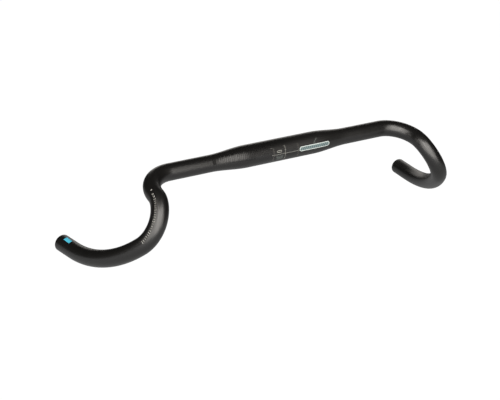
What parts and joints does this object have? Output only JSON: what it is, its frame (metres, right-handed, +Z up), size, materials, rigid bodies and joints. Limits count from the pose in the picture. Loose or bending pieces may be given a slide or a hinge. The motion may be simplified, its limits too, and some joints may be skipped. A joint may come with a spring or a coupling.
{
  "type": "drop handlebar",
  "caption": "Flared drop handlebar of one bent, butted alloy tube with a stem clamp bulge, two hooked drops, printed marks and expander end plugs.",
  "frame": {"origin": "centre of the stem clamp bulge, on the bar's axis", "axes": "+X along the clamp axis to the rider's left, -Y forward (the way the bicycle rides), +Z up; the bar is as fitted, with its ends level"},
  "size_m": [0.6154, 0.165, 0.1392],
  "materials": {
    "bar_anodised_black": "bead-blasted and anodised matte black",
    "pale_ink": "thin pale grey printed film",
    "badge_ink": "thin grey-green printed film with a pale outline",
    "tonal_ink": "glossier black film on matte black",
    "cyan_ink": "plain cyan printed film",
    "cap_black_plastic": "fine-textured moulded black",
    "screw_black_steel": "black oxide",
    "sleeve_rubber": "moulded matte",
    "nut_alloy": "turned and clear"
  },
  "bodies": {
    "handlebar": {"bar_tube": "bar_anodised_black", "clamp_marks_film": "pale_ink", "size_label_film": "pale_ink", "position_ring_film": "pale_ink", "badge_film": "badge_ink", "tonal_panel_film": "tonal_ink", "lever_scale_film_left": "pale_ink", "lever_scale_film_right": "pale_ink", "end_mark_film": "cyan_ink"},
    "left_plug": {"plug_cap_left": "cap_black_plastic", "plug_sleeve_left": "sleeve_rubber"},
    "left_plug_screw": {"plug_screw_left": "screw_black_steel"},
    "left_plug_nut": {"plug_nut_left": "nut_alloy"},
    "right_plug": {"plug_cap_right": "cap_black_plastic", "plug_sleeve_right": "sleeve_rubber"},
    "right_plug_screw": {"plug_screw_right": "screw_black_steel"},
    "right_plug_nut": {"plug_nut_right": "nut_alloy"}
  },
  "joints": [
    {"name": "left_plug_pull", "type": "slide", "parent": "handlebar", "child": "left_plug", "axis": [0.1272, 0.9919, 0.0013], "range_m": [0, 0.034]},
    {"name": "left_screw_turn", "type": "hinge", "parent": "left_plug", "child": "left_plug_screw", "pos_m": [0.29589, 0.08149, -0.1114], "axis": [0.1272, 0.9919, 0.0013], "range_deg": [0, 1801]},
    {"name": "left_nut_travel", "type": "slide", "parent": "left_plug", "child": "left_plug_nut", "axis": [-0.1272, -0.9919, -0.0013], "range_m": [0, 0.004]},
    {"name": "right_plug_pull", "type": "slide", "parent": "handlebar", "child": "right_plug", "axis": [-0.1272, 0.9919, 0.0013], "range_m": [0, 0.034]},
    {"name": "right_screw_turn", "type": "hinge", "parent": "right_plug", "child": "right_plug_screw", "pos_m": [-0.29589, 0.08149, -0.1114], "axis": [-0.1272, 0.9919, 0.0013], "range_deg": [0, 1801]},
    {"name": "right_nut_travel", "type": "slide", "parent": "right_plug", "child": "right_plug_nut", "axis": [0.1272, -0.9919, -0.0013], "range_m": [0, 0.004]}
  ],
  "couplings": [
    {"joint": "left_screw_turn", "follows": "left_nut_travel", "rad_per_m": 7854},
    {"joint": "right_screw_turn", "follows": "right_nut_travel", "rad_per_m": 7854}
  ]
}
